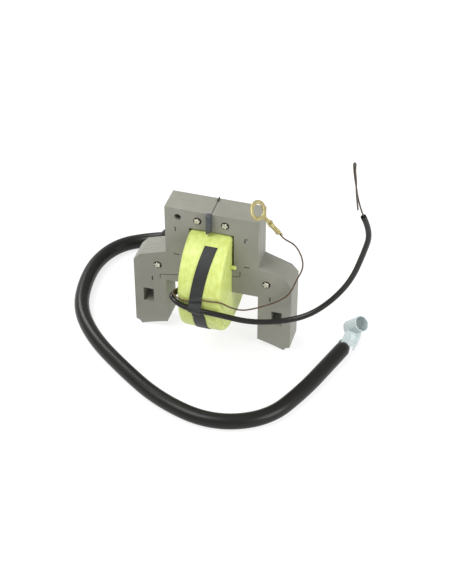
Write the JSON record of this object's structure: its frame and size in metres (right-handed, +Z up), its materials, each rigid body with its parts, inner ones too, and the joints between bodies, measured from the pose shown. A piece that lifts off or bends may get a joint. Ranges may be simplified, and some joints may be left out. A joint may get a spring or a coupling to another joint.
{
  "type": "ignition coil",
  "caption": "Flywheel-magneto ignition coil: laminated C-shaped core with pole legs, taped coil, high-voltage lead with plug clip, primary lead and ground lead.",
  "frame": {"origin": "between the two pole tips, on the surface they stand on, at the middle of the lamination stack", "axes": "+Z up along the legs, +X from the left leg to the right one, -Y the front face, where the primary and ground leads are taped down"},
  "size_m": [0.1442, 0.1215, 0.1155],
  "materials": {
    "stack_paint": "satin grey paint over stamped laminations",
    "zinc_plate": "bright zinc plate",
    "spacer_fibre": "dark pressed fibre",
    "winding_tape": "yellow adhesive tape, soft sheen",
    "copper_winding": "enamelled copper turns",
    "form_fibre": "brown pressed fibre",
    "barrier_film": "amber film",
    "lead_rubber": "black rubber, slight sheen",
    "boot_rubber": "black rubber, matt",
    "sleeve_plastic": "black varnished sleeving",
    "cloth_tape": "black cloth tape",
    "tinned_wire": "tinned copper wire",
    "enamel_wire": "brown enamelled copper wire",
    "ring_brass": "pale brass sheet"
  },
  "bodies": {
    "root": {"core_left_half": "stack_paint", "core_right_half": "stack_paint", "gap_spacer": "spacer_fibre", "gap_keeper": "cloth_tape", "coil_form": "form_fibre", "primary_winding": "copper_winding", "winding_barrier": "barrier_film", "secondary_winding": "copper_winding", "coil_cheek_left": "form_fibre", "coil_cheek_right": "form_fibre", "coil_wrap": "winding_tape", "secondary_tap": "zinc_plate", "winding_tail": "winding_tape", "yoke_rivet_left": "zinc_plate", "yoke_rivet_right": "zinc_plate", "leg_rivet_left": "zinc_plate", "leg_rivet_right": "zinc_plate", "hv_boot": "boot_rubber", "hv_lead": "lead_rubber", "hv_lead_core": "tinned_wire", "plug_terminal": "zinc_plate", "primary_sleeve": "sleeve_plastic", "primary_wire": "tinned_wire", "ground_wire": "enamel_wire", "ring_terminal": "ring_brass", "lead_tape": "cloth_tape"}
  },
  "joints": []
}
